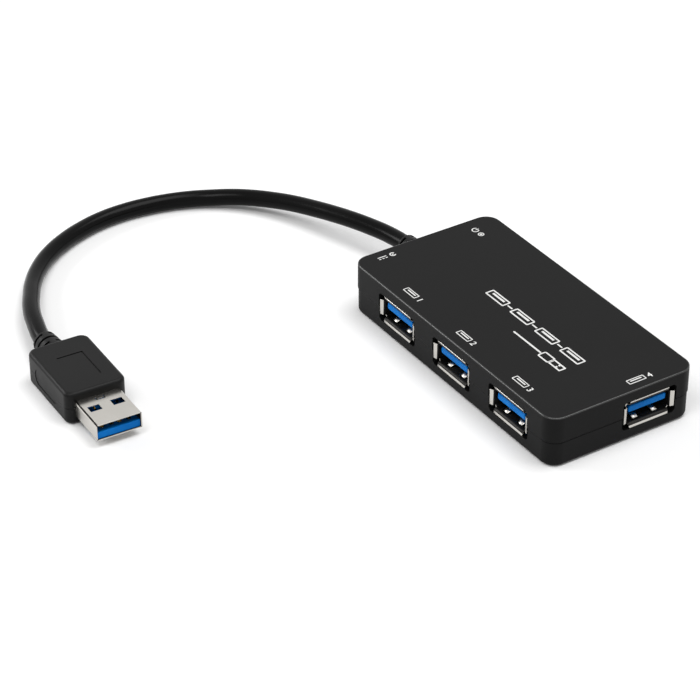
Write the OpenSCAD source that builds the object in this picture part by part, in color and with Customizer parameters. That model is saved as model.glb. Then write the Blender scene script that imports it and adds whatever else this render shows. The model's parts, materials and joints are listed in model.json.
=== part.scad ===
// Four-port data hub with a captive lead, a power inlet and a power light.
// Origin: middle of the casing's footprint. +X: towards the end that holds the fourth port. +Z: up.

/* [Casing] */
// Length of the casing along X
casing_l = 84.6; // [82:0.2:110]
// Width of the casing along Y
casing_w = 42.6; // [42:0.2:60]
// Height of the closed casing
casing_h = 14; // [13.4:0.1:20]
// Height of the line where the two shells meet
parting_z = 6.8; // [6.2:0.1:7.6]
// Radius of the four upright corners
corner_r = 4; // [3.2:0.1:7]
// Thickness of the side walls
wall_t = 1.6; // [1.4:0.1:2]
// Thickness of the top and of the floor
skin_t = 1.5; // [1:0.1:1.8]
// Rounding along the top edge
top_edge_r = 0.3; // [0.2:0.1:1]
// Rounding along the bottom edge
bottom_edge_r = 1.2; // [0.4:0.1:2]
// How far the lower shell stands back under the upper one
shell_step = 0.2; // [0.1:0.05:0.3]
// Height of the lip that centres the shells on each other
lip_h = 0.9; // [0.6:0.1:1.2]
// Thickness of that lip
lip_t = 0.6; // [0.4:0.1:0.7]

/* [Circuit board] */
// Underside of the board above the table
board_z = 3.1; // [2.9:0.1:3.4]
// Thickness of the board
board_t = 1.2; // [1:0.1:1.6]
// Gap between the board's edge and the side walls
board_gap = 0.4; // [0.2:0.1:0.6]
// Radius of the pins that locate and hold the board
pin_r = 1; // [0.8:0.1:1.2]
// Distance of the pins from the inside of the long walls
pin_in = 4.2; // [3.7:0.1:5]

/* [Ports] */
// Distance of the first side port's middle from the lead's end of the casing
first_port_in = 20.3; // [20:0.1:24]
// Distance of the third side port's middle from the far end of the casing
last_port_in = 17.1; // [14:0.1:19]
// Gap between the side ports' contacts and the end port's socket
end_port_gap = 1.9; // [0.5:0.1:3]
// Width of the socket opening
socket_w = 12.5; // [12.3:0.1:12.7]
// Height of the socket opening
socket_h = 5.12; // [5.1:0.01:5.2]
// Thickness of the socket's sheet metal
sheet_t = 0.3; // [0.25:0.05:0.35]
// Depth of the socket behind its flared mouth
socket_l = 16.3; // [15.5:0.1:17]
// How far the mouth's flaps flare outwards
flare = 1.05; // [0.5:0.05:1.2]
// Distance of the flaps behind the casing's face
mouth_recess = 0.1; // [0.1:0.1:0.6]
// Width of the tongue inside the socket
tongue_w = 11.1; // [10.8:0.1:11.2]
// Thickness of the tongue
tongue_t = 1.84; // [1.8:0.02:1.9]
// Length of the tongue in front of its block
tongue_l = 11.9; // [9.2:0.1:12.2]
// Length of the block at the back of the socket
block_l = 4.5; // [4:0.1:5]

/* [Power inlet] */
// Distance of the inlet's middle from the long face beside it
inlet_in = 8.5; // [7.8:0.1:10]
// Radius of the inlet's bore
inlet_bore_r = 1.8; // [1.7:0.05:1.9]
// Radius of the inlet's centre pin
inlet_pin_r = 0.65; // [0.5:0.05:0.7]
// Width of the inlet's housing
inlet_w = 7; // [6.6:0.1:7.4]
// Height of the inlet's housing
inlet_h = 6.2; // [6:0.1:7]
// Length of the inlet's housing behind the wall
inlet_l = 10; // [9.5:0.1:10.4]

/* [Power light] */
// Distance of the light's middle from the long face beside it
light_in = 8.3; // [7:0.1:10]
// Radius of the light's lens
light_r = 1.5; // [1.4:0.1:1.6]

/* [Lead] */
// Diameter of the lead
lead_d = 4.5; // [4:0.1:4.8]
// Place of the lead across the casing
lead_y = 1; // [0:0.5:1]
// Length of the strain relief outside the casing
relief_l = 8.7; // [7:0.1:8.7]
// Radius of a strain relief where it leaves its housing
relief_base_r = 3.5; // [3.2:0.1:3.8]
// Radius of a strain relief at its tip
relief_tip_r = 2.9; // [2.8:0.1:3.1]

/* [Plug] */
// Width of the plug's metal shell
plug_w = 12; // [11.9:0.1:12.1]
// Height of the plug's metal shell
plug_h = 4.5; // [4.4:0.05:4.6]
// Length of the metal shell that shows
plug_l = 11.6; // [11.4:0.1:13]
// Length of the shell inside the grip
plug_held_l = 6; // [5:0.1:7]
// Length of the grip
grip_l = 23.2; // [20:0.1:24]
// Width of the grip
grip_w = 16; // [15:0.1:17]
// Height of the grip
grip_h = 8.8; // [7.6:0.1:9.4]

/* [Hidden] */
$fn = 64;

// Clearances
fit = 0.05;
loose_fit = 0.1;
moving_gap = 0.1;
mouth_gap_w = 0.25;
mouth_gap_h = 0.1;
eps = 0.01;

// Sockets: outer size, mouth and height above the table
socket_ow = socket_w + 2 * sheet_t;
socket_oh = socket_h + 2 * sheet_t;
board_top = board_z + board_t;
port_z = board_top + socket_oh / 2;
cut_w = socket_ow + 2 * (flare + mouth_gap_w);
cut_h = socket_oh + 2 * (flare + mouth_gap_h);
socket_corner_r = 0.6;
leg_w = 1.2;
leg_clear = 0.1;
leg_under = 0.4;
leg_depths = [5.4, 12.4];
port_pitch = (casing_l - first_port_in - last_port_in) / 2;
port_row_x = (first_port_in - last_port_in) / 2;

// Places along a socket's depth, from its flaps' tips
socket_back = flare + socket_l;
block_front = socket_back - block_l;
tongue_front = block_front - tongue_l;

// Contacts: data contacts are springs, fast contacts are flat strips
contact_t = 0.2;
spring_xs = [-3.5, -1, 1, 3.5];
flat_xs = [-4, -2, 0, 2, 4];
spring_w = 0.9;
flat_w = 0.5;
tail_w = 0.4;
spring_root_z = 0.5;
spring_drop = 0.95;
spring_reach = 4.5;
spring_tip = 0.8;
spring_seat = 0.8;
flat_low_z = contact_t / 2;
flat_high_z = 1.2;
flat_start = 0.6;
flat_len = 2;
spring_tail_y = 1;
flat_tail_y = 2.2;
foot_l = 0.9;
contacts_back = socket_back + flat_tail_y + foot_l;

// Where the side ports' contacts end, and the end port's middle behind them
row_back_y = -casing_w / 2 + mouth_recess + contacts_back;
end_port_y = row_back_y + end_port_gap + socket_ow / 2;

// Socket fingers: sprung tongues stamped from the shell, which hold the plug
finger_xs = [-2.9, 2.9];
finger_w = 2;
finger_slot = 0.25;
finger_t = 0.25;
finger_bow = 0.45;
finger_tip_y = 0.7;
finger_peak_y = 1.9;
finger_root_y = 7.5;
finger_root_l = 0.4;

// How far the groove for the lip lies inside the casing's faces
lip_outside = wall_t - lip_t - loose_fit;

// Board outline and the posts that carry it
board_l = casing_l - 2 * (wall_t + board_gap);
board_w = casing_w - 2 * (wall_t + board_gap);
post_wall = 1.3;
post_r = pin_r + post_wall;
pin_up = 4;
pin_y = casing_w / 2 - wall_t - pin_in;
post_xs = [port_row_x - port_pitch / 2, port_row_x + port_pitch / 2];
notch_l = 3;
notch_w = 10;

// Power inlet
end_x = casing_l / 2;
inlet_x = -end_x + wall_t + loose_fit;
inlet_back = inlet_x + inlet_l;
inlet_y = -casing_w / 2 + inlet_in;
inlet_z = board_top + inlet_h / 2;
nose_r = inlet_bore_r + 1.1;
nose_recess = 0.2;
inlet_depth = 8.3;
inlet_pin_recess = 1.2;
inlet_shank_r = inlet_pin_r + 0.45;
inlet_tail_w = 0.8;
terminal_t = 0.3;
terminal_l = 1.4;
inlet_spring_h = 1.2;
inlet_spring_y = 2.4;
inlet_spring_in = 0.9;
inlet_spring_reach = 4.4;

// Power light
light_y = casing_w / 2 - light_in;
light_recess = 0.3;
light_barrel = 3.5;
light_flange_t = 1;
light_flange_r = light_r + 0.4;
light_lead = 0.5;
light_lead_pitch = 2.54;
light_lead_l = 2;

// Strain reliefs
relief_collar_r = 4.2;
relief_collar_t = 1.2;
relief_neck_r = 3;
slot_l = 0.8;
slot_depth = 0.7;
slot_pitch = 2.2;
slot_web = 1.6;
plug_relief_l = 7.4;
plug_relief_extra = 0.1;

// Plug: place of the middle of its mouth on the table, and its heading
plug_at = [-22.6, -99.3, 0];
plug_yaw = -3;
plug_z = grip_h / 2;
plug_corner_r = 0.6;
grip_corner_r = 2.2;
grip_edge_r = 1;
insert_t = 1.95;
insert_recess = 0.3;
insert_block_l = 5.6;
window_w = 2.6;
window_l = 1.9;
window_x = 6.8;
window_y = 3;
plug_flat_start = 1.8;
plug_flat_l = 4.6;
plug_flat_w = 0.9;
plug_flat_low = 1.2;
plug_spring_z = 0.3;
plug_spring_bump = 0.25;
plug_spring_peak = 1.6;
plug_spring_l = 2.9;
plug_groove = 0.45;

// Lead: its route from inside the casing to inside the plug's grip
lead_z = parting_z;
lead_in_l = 2.6;
lead_start_x = -end_x + wall_t + lead_in_l;
lead_route = [[lead_start_x, lead_y, lead_z], [-end_x - wall_t, lead_y, lead_z],
    [-end_x - relief_l, lead_y, lead_z], [-57.5, 0, 6.8], [-63, -1.5, 6.7],
    [-69, -3.5, 6.5], [-75, -5.7, 6.1], [-81, -8, 5.5], [-87, -10.7, 4.9], [-92.5, -13.7, 4.2],
    [-97.5, -17.3, 3.6], [-101.5, -21.1, 3.1], [-105, -25.6, 2.6], [-107.7, -30.4, 2.4],
    [-109.8, -36, 2.3], [-111.1, -42, 2.3], [-111.7, -49, 2.3], [-111.2, -56, 2.3],
    [-109.6, -62.5, 2.3], [-107, -69, 2.3], [-103.3, -75.3, 2.3], [-98.4, -80.9, 2.4],
    [-92.3, -85.8, 2.8], [-85.9, -89.6, 3.5], [-79.4, -92.9, 4.1], [-72.5, -95.3, plug_z],
    [-65.34, -97.06, plug_z], [-59.75, -97.35, plug_z], [-54.54, -97.63, plug_z]];
lead_sides = 10;
wire_r = 0.35;
wire_sides = 6;
wire_count = 9;
wire_ring_r = 1.6;
wire_turn = 170;
wire_run = 7;
wire_foot = 1.5;
wire_pitch = 1.3;
wires_end_x = lead_start_x + wire_run + wire_foot;

// Parts on the board: sizes, then places behind the side ports and in front of the board's back edge
chip_w = 9;
chip_t = 0.9;
crystal_l = 11.8;
crystal_w = 4.8;
crystal_h = 3.2;
crystal_base_t = 0.6;
crystal_rim = 0.4;
crystal_end_r = 1.6;
can_r = 2.5;
can_h = 4.7;
can_base_w = 5.3;
can_base_t = 0.7;
ceramic_l = 1;
ceramic_w = 1.8;
ceramic_t = 0.8;
resistor_l = 0.9;
resistor_w = 1.6;
resistor_t = 0.5;
regulator_l = 3.6;
regulator_w = 6.4;
regulator_t = 1.6;
regulator_gap = 6;
fuse_l = 2.4;
fuse_w = 3.2;
fuse_t = 0.8;
fuse_shift = 0.7;
small_pitch = 3;
small_gap = 1.5;
chip_in = 1.35;
crystal_gap = 0.5;
first_row_in = 1.65;
row_pitch = 3.45;
chip_x = port_row_x;
chip_y = row_back_y + chip_in + chip_w / 2;
chip_left = chip_x - chip_w / 2 - small_gap;
chip_right = chip_x + chip_w / 2 + small_gap;
crystal_y = chip_y + chip_w / 2 + crystal_gap + crystal_w / 2;
first_row_y = row_back_y + first_row_in;
second_row_y = first_row_y + row_pitch;
third_row_y = second_row_y + row_pitch;
can_in_row = 4;
can_from_post = 7;
can_pitch = 6.5;
can_in = 3.3;

// ---- outlines and shared shapes ----

// A flat rectangle with round corners
module round_rect(l, w, r) {
    square([l - 2 * r, w], center = true);
    square([l, w - 2 * r], center = true);
    for (sx = [-1, 1], sy = [-1, 1])
        translate([sx * (l / 2 - r), sy * (w / 2 - r)]) circle(r);
}

module round_plate(l, w, h, r) {
    linear_extrude(h) round_rect(l, w, r);
}

// Half the side view of a box: a wide and h high, its outer corners rounded low and high
module half_view(a, h, low_r, high_r) {
    translate([0, low_r]) square([a, h - low_r - high_r]);
    if (low_r > 0) {
        square([a - low_r, low_r + eps]);
        intersection() {
            translate([a - low_r, low_r]) circle(low_r);
            square([a, h]);
        }
    }
    if (high_r > 0) {
        translate([0, h - high_r - eps]) square([a - high_r, high_r + eps]);
        intersection() {
            translate([a - high_r, h - high_r]) circle(high_r);
            square([a, h]);
        }
    }
}

module full_view(a, h, low_r, high_r) {
    half_view(a, h, low_r, high_r);
    mirror([1, 0]) half_view(a, h, low_r, high_r);
}

// A box with round upright corners and rounded bottom and top edges
module soft_box(l, w, h, r, low_r, high_r) {
    rotate([90, 0, 90]) linear_extrude(l - 2 * r, center = true) full_view(w / 2, h, low_r, high_r);
    rotate([90, 0, 0]) linear_extrude(w - 2 * r, center = true) full_view(l / 2, h, low_r, high_r);
    for (sx = [-1, 1], sy = [-1, 1])
        translate([sx * (l / 2 - r), sy * (w / 2 - r), 0]) rotate_extrude() half_view(r, h, low_r, high_r);
}

// Gives a drawing in depth (Y) and height (Z) a width along X
module across(w) {
    rotate([90, 0, 90]) linear_extrude(w, center = true) children();
}

// A strip bent square along points given as [y, z], w wide and t thick
module bent_strip(w, t, path) {
    for (i = [0 : len(path) - 2])
        translate([-w / 2, min(path[i][0], path[i + 1][0]) - t / 2, min(path[i][1], path[i + 1][1]) - t / 2])
            cube([w, abs(path[i + 1][0] - path[i][0]) + t, abs(path[i + 1][1] - path[i][1]) + t]);
}

// A sprung strip along points given as [y, z], t thick
module sprung_strip(w, t, path) {
    across(w) polygon(concat([for (p = path) [p[0], p[1] + t / 2]],
        [for (i = [len(path) - 1 : -1 : 0]) [path[i][0], path[i][1] - t / 2]]));
}

function unit(v) = v / norm(v);
function heading(path, i) = unit(path[min(i + 1, len(path) - 1)] - path[max(i - 1, 0)]);
function ring(path, i, r, sides) =
    let (t = heading(path, i), s = unit(cross([0, 0, 1], t)), u = cross(t, s))
    [for (k = [0 : sides - 1]) path[i] + r * (cos(360 * k / sides) * s + sin(360 * k / sides) * u)];

// A round tube along a path
module swept_tube(path, r, sides) {
    last = len(path) - 1;
    polyhedron(
        points = [for (i = [0 : last]) each ring(path, i, r, sides)],
        faces = concat([[for (k = [0 : sides - 1]) k]],
            [for (i = [0 : last - 1], k = [0 : sides - 1])
                let (n = (k + 1) % sides)
                    [i * sides + k, (i + 1) * sides + k, (i + 1) * sides + n, i * sides + n]],
            [[for (k = [sides - 1 : -1 : 0]) last * sides + k]]));
}

// ---- places ----

// Puts a part on port i: y = 0 is the casing's face there, +Y goes in
module at_port(i) {
    if (i < 4) {
        translate([port_row_x + (i - 2) * port_pitch, -casing_w / 2, 0]) children();
    } else {
        translate([end_x, end_port_y, 0]) rotate([0, 0, 90]) children();
    }
}

// The same, at the middle of the socket's mouth
module at_socket(i) {
    at_port(i) translate([0, mouth_recess, port_z]) children();
}

module at_posts() {
    for (x = post_xs, sy = [-1, 1]) translate([x, sy * pin_y, 0]) children();
}

module at_inlet(x) {
    translate([x, inlet_y, inlet_z]) rotate([0, 90, 0]) children();
}

module at_light(x) {
    translate([x, light_y, inlet_z]) rotate([0, 90, 0]) children();
}

module at_lead(x) {
    translate([x, lead_y, lead_z]) rotate([0, 90, 0]) children();
}

module at_plug() {
    translate(plug_at) rotate([0, 0, plug_yaw]) children();
}

// ---- casing ----

module wall_openings() {
    for (i = [1 : 4])
        at_port(i) translate([-cut_w / 2, -1, port_z - cut_h / 2]) cube([cut_w, wall_t + 1.5, cut_h]);
    at_inlet(-end_x - 1) cylinder(r = nose_r + loose_fit, h = wall_t + 2);
    at_light(-end_x - 1) cylinder(r = light_r + loose_fit, h = wall_t + 2);
    at_lead(-end_x - 1) cylinder(r = relief_neck_r + fit, h = wall_t + 2);
}

module top_shell() {
    color("#2b2b2c") {
        difference() {
            translate([0, 0, parting_z])
                soft_box(casing_l, casing_w, casing_h - parting_z, corner_r, 0, top_edge_r);
            translate([0, 0, parting_z - 1])
                round_plate(casing_l - 2 * wall_t, casing_w - 2 * wall_t,
                    casing_h - skin_t - parting_z + 1, corner_r - wall_t);
            translate([0, 0, parting_z - 1])
                round_plate(casing_l - 2 * lip_outside, casing_w - 2 * lip_outside,
                    lip_h + loose_fit + 1, corner_r - lip_outside);
            wall_openings();
        }
        difference() {
            at_posts() translate([0, 0, board_top])
                cylinder(r = post_r, h = casing_h - skin_t - board_top + eps);
            at_posts() translate([0, 0, board_top - 1]) cylinder(r = pin_r + fit, h = pin_up + 1.5);
        }
    }
}

module bottom_shell() {
    color("#29292a") {
        difference() {
            union() {
                soft_box(casing_l - 2 * shell_step, casing_w - 2 * shell_step, parting_z,
                    corner_r - shell_step, bottom_edge_r, 0);
                translate([0, 0, parting_z - 1])
                    round_plate(casing_l - 2 * (wall_t - lip_t), casing_w - 2 * (wall_t - lip_t),
                        lip_h + 1, corner_r - wall_t + lip_t);
            }
            translate([0, 0, skin_t])
                round_plate(casing_l - 2 * wall_t, casing_w - 2 * wall_t, casing_h, corner_r - wall_t);
            wall_openings();
        }
        at_posts() translate([0, 0, skin_t - eps]) cylinder(r = post_r, h = board_z - skin_t + eps);
        at_posts() translate([0, 0, board_z - eps]) cylinder(r = pin_r, h = board_t + pin_up + eps);
    }
}

module circuit_board() {
    color("#17201c") difference() {
        translate([0, 0, board_z]) round_plate(board_l, board_w, board_t, corner_r - wall_t);
        at_posts() translate([0, 0, board_z - 1]) cylinder(r = pin_r + loose_fit, h = board_t + 2);
        translate([-board_l / 2 - 1, lead_y - notch_w / 2, board_z - 1])
            cube([notch_l + 1, notch_w, board_t + 2]);
        for (i = [1 : 4], depth = leg_depths, side = [-1, 1])
            at_socket(i)
                translate([side * (socket_ow - sheet_t) / 2, flare + depth, 0])
                    cube([sheet_t + 2 * leg_clear, leg_w + 2 * leg_clear, 2 * port_z], center = true);
    }
}

// ---- sockets ----

module finger_view(side) {
    wall_in = socket_h / 2;
    scale([1, side]) polygon([[finger_root_y + finger_root_l, wall_in + sheet_t],
        [finger_root_y + finger_root_l, wall_in], [finger_root_y, wall_in],
        [finger_peak_y, wall_in - finger_bow], [finger_tip_y, wall_in - 0.1],
        [finger_tip_y, wall_in - 0.1 + finger_t], [finger_peak_y, wall_in - finger_bow + finger_t],
        [finger_root_y, wall_in + sheet_t]]);
}

// One flap of the mouth, on the wall whose inner face is at height inner
module flap_view(inner) {
    polygon([[flare + fit, inner], [flare, inner], [0, inner + flare], [0, inner + flare + sheet_t],
        [flare, inner + sheet_t], [flare + fit, inner + sheet_t]]);
}

module socket_shell() {
    color("#c9c6c0") {
        difference() {
            translate([0, flare, 0]) rotate([-90, 0, 0]) linear_extrude(socket_l) difference() {
                round_rect(socket_ow, socket_oh, socket_corner_r);
                round_rect(socket_w, socket_h, socket_corner_r - sheet_t);
            }
            for (x = finger_xs)
                translate([x, flare + (finger_tip_y + finger_root_y) / 2 - finger_slot / 2, 0])
                    cube([finger_w + 2 * finger_slot, finger_root_y - finger_tip_y + finger_slot,
                        2 * socket_oh], center = true);
        }
        for (x = finger_xs, side = [-1, 1]) translate([x, flare, 0]) across(finger_w) finger_view(side);
        for (turn = [0, 180]) {
            rotate([0, turn, 0]) across(socket_ow - 2 * socket_corner_r) flap_view(socket_h / 2);
            rotate([0, turn + 90, 0]) across(socket_oh - 2 * socket_corner_r) flap_view(socket_w / 2);
        }
        for (depth = leg_depths, side = [-1, 1])
            translate([side * (socket_ow - sheet_t) / 2, flare + depth, -socket_oh / 2])
                translate([-sheet_t / 2, -leg_w / 2, -board_t - leg_under])
                    cube([sheet_t, leg_w, board_t + leg_under + socket_corner_r + 0.4]);
    }
}

board_in_socket = -socket_oh / 2;

flat_path = [[tongue_front + flat_start, flat_low_z], [tongue_front + flat_start + flat_len, flat_low_z],
    [tongue_front + flat_start + flat_len, flat_high_z], [socket_back + flat_tail_y, flat_high_z],
    [socket_back + flat_tail_y, board_in_socket + contact_t / 2],
    [socket_back + flat_tail_y + foot_l, board_in_socket + contact_t / 2]];
tail_path = [[block_front + spring_seat + contact_t, spring_root_z],
    [socket_back + spring_tail_y, spring_root_z],
    [socket_back + spring_tail_y, board_in_socket + contact_t / 2],
    [socket_back + spring_tail_y + foot_l / 2, board_in_socket + contact_t / 2]];
spring_path = [[block_front + spring_seat, spring_root_z], [block_front - 0.5, spring_root_z],
    [block_front - spring_reach, spring_root_z - spring_drop],
    [block_front - spring_reach - spring_tip, spring_root_z - spring_drop / 2]];

module socket_insulator() {
    color("#1e6fc8") difference() {
        union() {
            translate([0, block_front, 0]) rotate([-90, 0, 0]) linear_extrude(block_l)
                round_rect(socket_w - 2 * fit, socket_h - 2 * fit, socket_corner_r - sheet_t);
            translate([-tongue_w / 2, tongue_front, 0]) cube([tongue_w, tongue_l + eps, tongue_t]);
        }
        for (x = flat_xs) translate([x, 0, 0]) bent_strip(flat_w + 2 * eps, contact_t + 2 * eps, flat_path);
        for (x = spring_xs) {
            translate([x, 0, 0]) bent_strip(tail_w + 2 * eps, contact_t + 2 * eps, tail_path);
            translate([x - spring_w / 2 - moving_gap, block_front - spring_reach - spring_tip - 0.4, -eps])
                cube([spring_w + 2 * moving_gap, spring_reach + spring_tip + 0.4, spring_root_z + 0.35]);
            translate([x - spring_w / 2 - moving_gap, block_front - eps,
                    spring_root_z - contact_t / 2 - moving_gap])
                cube([spring_w + 2 * moving_gap, spring_seat + contact_t / 2, contact_t + 2 * moving_gap]);
        }
    }
}

module socket_contacts() {
    color("#d3a63f") {
        for (x = flat_xs) translate([x, 0, 0]) bent_strip(flat_w, contact_t, flat_path);
        for (x = spring_xs) translate([x, 0, 0]) bent_strip(tail_w, contact_t, tail_path);
    }
}

module socket_springs() {
    color("#d3a63f") for (x = spring_xs) translate([x, 0, 0]) sprung_strip(spring_w, contact_t, spring_path);
}

// ---- parts on the board ----

module on_board(x, y) {
    translate([x, y, board_top]) children();
}

// A block on the board, l along X, w along Y and h high, its underside at height up
module block(x, y, l, w, h, up = 0) {
    on_board(x, y) translate([-l / 2, -w / 2, up]) cube([l, w, h]);
}

// A row of small blocks along X from place x, with the pitch's sign as its direction
module block_row(x, y, count, pitch, l, w, h) {
    for (i = [0 : count - 1]) block(x + i * pitch, y, l, w, h);
}

module at_cans() {
    for (x = post_xs) on_board(x, row_back_y - can_in_row) children();
    for (i = [0, 1]) on_board(post_xs[0] - can_from_post - i * can_pitch, board_w / 2 - can_in) children();
}

module hub_chip() {
    color("#1b1b1d") block(chip_x, chip_y, chip_w, chip_w, chip_t);
}

module crystal_base() {
    color("#26262a") block(chip_x, crystal_y, crystal_l, crystal_w, crystal_base_t);
}

module crystal_can() {
    color("#c4c4c6") on_board(chip_x, crystal_y)
        translate([0, 0, crystal_base_t])
            round_plate(crystal_l - 2 * crystal_rim, crystal_w - 2 * crystal_rim, crystal_h, crystal_end_r);
}

module capacitor_bases() {
    color("#222224") at_cans()
        translate([-can_base_w / 2, -can_base_w / 2, 0]) cube([can_base_w, can_base_w, can_base_t]);
}

module capacitor_cans() {
    color("#c0c2c6") at_cans() translate([0, 0, can_base_t]) cylinder(r = can_r, h = can_h);
}

module chip_capacitors() {
    color("#b3895f") {
        block_row(chip_left, first_row_y, 4, -small_pitch, ceramic_l, ceramic_w, ceramic_t);
        block_row(chip_right, first_row_y, 3, small_pitch, ceramic_l, ceramic_w, ceramic_t);
    }
}

module chip_resistors() {
    color("#2c2c30") {
        block_row(chip_left, second_row_y, 3, -small_pitch, resistor_l, resistor_w, resistor_t);
        block_row(chip_right, third_row_y, 3, small_pitch, resistor_l, resistor_w, resistor_t);
    }
}

module voltage_regulator() {
    color("#1e1e20") block(wires_end_x + regulator_gap, second_row_y, regulator_l, regulator_w, regulator_t);
}

module resettable_fuses() {
    color("#2f6b4a") block_row(chip_right + fuse_shift, second_row_y, 3, small_pitch, fuse_l, fuse_w, fuse_t);
}

// ---- power inlet ----

module inlet_housing() {
    color("#222223") difference() {
        union() {
            translate([inlet_x, inlet_y - inlet_w / 2, board_top]) cube([inlet_l, inlet_w, inlet_h]);
            at_inlet(-end_x + nose_recess) cylinder(r = nose_r, h = inlet_x + end_x);
        }
        at_inlet(-end_x - 1) cylinder(r = inlet_bore_r, h = inlet_depth + 1);
        at_inlet(-end_x) cylinder(r = inlet_shank_r, h = inlet_back + end_x + 1);
        translate([inlet_x + 1.2, inlet_y, inlet_z - inlet_spring_h / 2 - moving_gap])
            cube([inlet_l, inlet_w, inlet_spring_h + 2 * moving_gap]);
        translate([inlet_back - terminal_l, inlet_y + inlet_spring_y - terminal_t, board_top - 1])
            cube([inlet_l, inlet_w, inlet_h / 2 + 1]);
    }
}

module inlet_pin() {
    color("#cfccc6") {
        at_inlet(-end_x + inlet_pin_recess) cylinder(r = inlet_pin_r, h = inlet_depth - inlet_pin_recess);
        at_inlet(-end_x + inlet_depth) cylinder(r = inlet_shank_r, h = inlet_back + end_x - inlet_depth);
        translate([inlet_back, inlet_y - inlet_tail_w / 2, board_top])
            cube([terminal_t, inlet_tail_w, inlet_z + inlet_tail_w / 2 - board_top]);
    }
}

module inlet_terminal() {
    color("#cfccc6")
        translate([inlet_back - terminal_l + loose_fit, inlet_y + inlet_spring_y - terminal_t / 2, board_top])
            cube([terminal_l - loose_fit, terminal_t, inlet_z + inlet_spring_h / 2 - board_top]);
}

module inlet_spring() {
    root_x = inlet_back - terminal_l;
    color("#cfccc6") translate([0, inlet_y, inlet_z - inlet_spring_h / 2]) linear_extrude(inlet_spring_h)
        polygon([[root_x, inlet_spring_y], [root_x, inlet_spring_y + contact_t],
            [root_x - inlet_spring_reach, inlet_spring_y - inlet_spring_in + contact_t],
            [root_x - inlet_spring_reach - 1.4, inlet_spring_y + contact_t - 0.1],
            [root_x - inlet_spring_reach - 1.4, inlet_spring_y - 0.1],
            [root_x - inlet_spring_reach, inlet_spring_y - inlet_spring_in]]);
}

// ---- power light ----

light_back = -end_x + light_recess + light_r + light_barrel + light_flange_t;

module power_light() {
    color("#9fd0a8") {
        translate([-end_x + light_recess + light_r, light_y, inlet_z]) sphere(light_r);
        at_light(-end_x + light_recess + light_r) cylinder(r = light_r, h = light_barrel + eps);
        at_light(light_back - light_flange_t) cylinder(r = light_flange_r, h = light_flange_t);
    }
}

module light_leads() {
    color("#c9c6c0") for (side = [-1, 1])
        translate([light_back, light_y + side * light_lead_pitch / 2 - light_lead / 2, 0]) {
            translate([0, 0, inlet_z - light_lead / 2]) cube([light_lead_l, light_lead, light_lead]);
            translate([light_lead_l - light_lead, 0, board_top])
                cube([light_lead, light_lead, inlet_z - board_top]);
        }
}

// ---- lead ----

// A tapered boot along +Z with rings of slots: len long from base_r to tip_r
module ribbed_boot(len, base_r, tip_r, slots) {
    difference() {
        cylinder(r1 = base_r, r2 = tip_r, h = len);
        for (k = [0 : slots - 1]) {
            z = len - slot_pitch * (k + 0.75);
            difference() {
                translate([0, 0, z]) cylinder(r = base_r + 1, h = slot_l);
                translate([0, 0, z - 1]) cylinder(r = tip_r - slot_depth, h = slot_l + 2);
                rotate([0, 0, 90 * k]) translate([-slot_web / 2, -base_r - 2, z - 1])
                    cube([slot_web, 2 * base_r + 4, slot_l + 2]);
            }
        }
    }
}

module strain_relief() {
    color("#242425") difference() {
        union() {
            translate([-end_x, lead_y, lead_z]) rotate([0, -90, 0])
                ribbed_boot(relief_l, relief_base_r, relief_tip_r, 3);
            at_lead(-end_x - eps) cylinder(r = relief_neck_r, h = wall_t + loose_fit + 2 * eps);
            at_lead(-end_x + wall_t + loose_fit) cylinder(r = relief_collar_r, h = relief_collar_t);
        }
        at_lead(-end_x - relief_l - 1)
            cylinder(r = lead_d / 2 + fit, h = relief_l + wall_t + relief_collar_t + 3);
    }
}

// Wires leave the lead's end in a ring and fan out: neighbours on the board come from either side of it
module lead_wires() {
    color("#a33c34") for (i = [0 : wire_count - 1])
        let (turn = wire_turn + 360 / wire_count * ceil(i / 2) * (i % 2 == 1 ? 1 : -1),
            from = [lead_start_x, lead_y + wire_ring_r * cos(turn), lead_z + wire_ring_r * sin(turn)],
            to = [lead_start_x + wire_run, lead_y + (i - (wire_count - 1) / 2) * wire_pitch,
                board_top + wire_r + fit])
            swept_tube([from, from + [1, 0, 0], to, to + [wire_foot, 0, 0]], wire_r, wire_sides);
}

module lead() {
    color("#232324") swept_tube(lead_route, lead_d / 2, lead_sides);
}

// ---- plug: x = 0 is its mouth, -X goes back along it ----

plug_back = -plug_l - plug_held_l;
grip_back = -plug_l - grip_l;
lead_end = grip_back + 2.9;
slot_w = plug_w - 2 * sheet_t;
slot_h = plug_h - 2 * sheet_t;

module plug_grip() {
    color("#262627") at_plug() difference() {
        union() {
            translate([(grip_back - plug_l) / 2, 0, 0])
                soft_box(grip_l, grip_w, grip_h, grip_corner_r, grip_edge_r, grip_edge_r);
            translate([grip_back + 1, 0, plug_z]) rotate([0, -90, 0])
                ribbed_boot(plug_relief_l + 1, relief_base_r + plug_relief_extra,
                    relief_tip_r + plug_relief_extra, 3);
        }
        translate([plug_back, 0, plug_z]) rotate([90, 0, 90]) linear_extrude(plug_held_l + 1)
            round_rect(plug_w, plug_h, plug_corner_r);
        translate([grip_back - plug_relief_l - 1, 0, plug_z]) rotate([0, 90, 0])
            cylinder(r = lead_d / 2 + fit, h = lead_end - grip_back + plug_relief_l + 1);
    }
}

module plug_shell() {
    color("#c9c6c0") at_plug() translate([0, 0, plug_z]) difference() {
        translate([plug_back, 0, 0]) rotate([90, 0, 90]) linear_extrude(-plug_back) difference() {
            round_rect(plug_w, plug_h, plug_corner_r);
            round_rect(slot_w, slot_h, plug_corner_r - sheet_t);
        }
        for (side = [-1, 1])
            translate([-window_x, side * window_y, 0]) cube([window_l, window_w, 2 * plug_h], center = true);
    }
}

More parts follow.
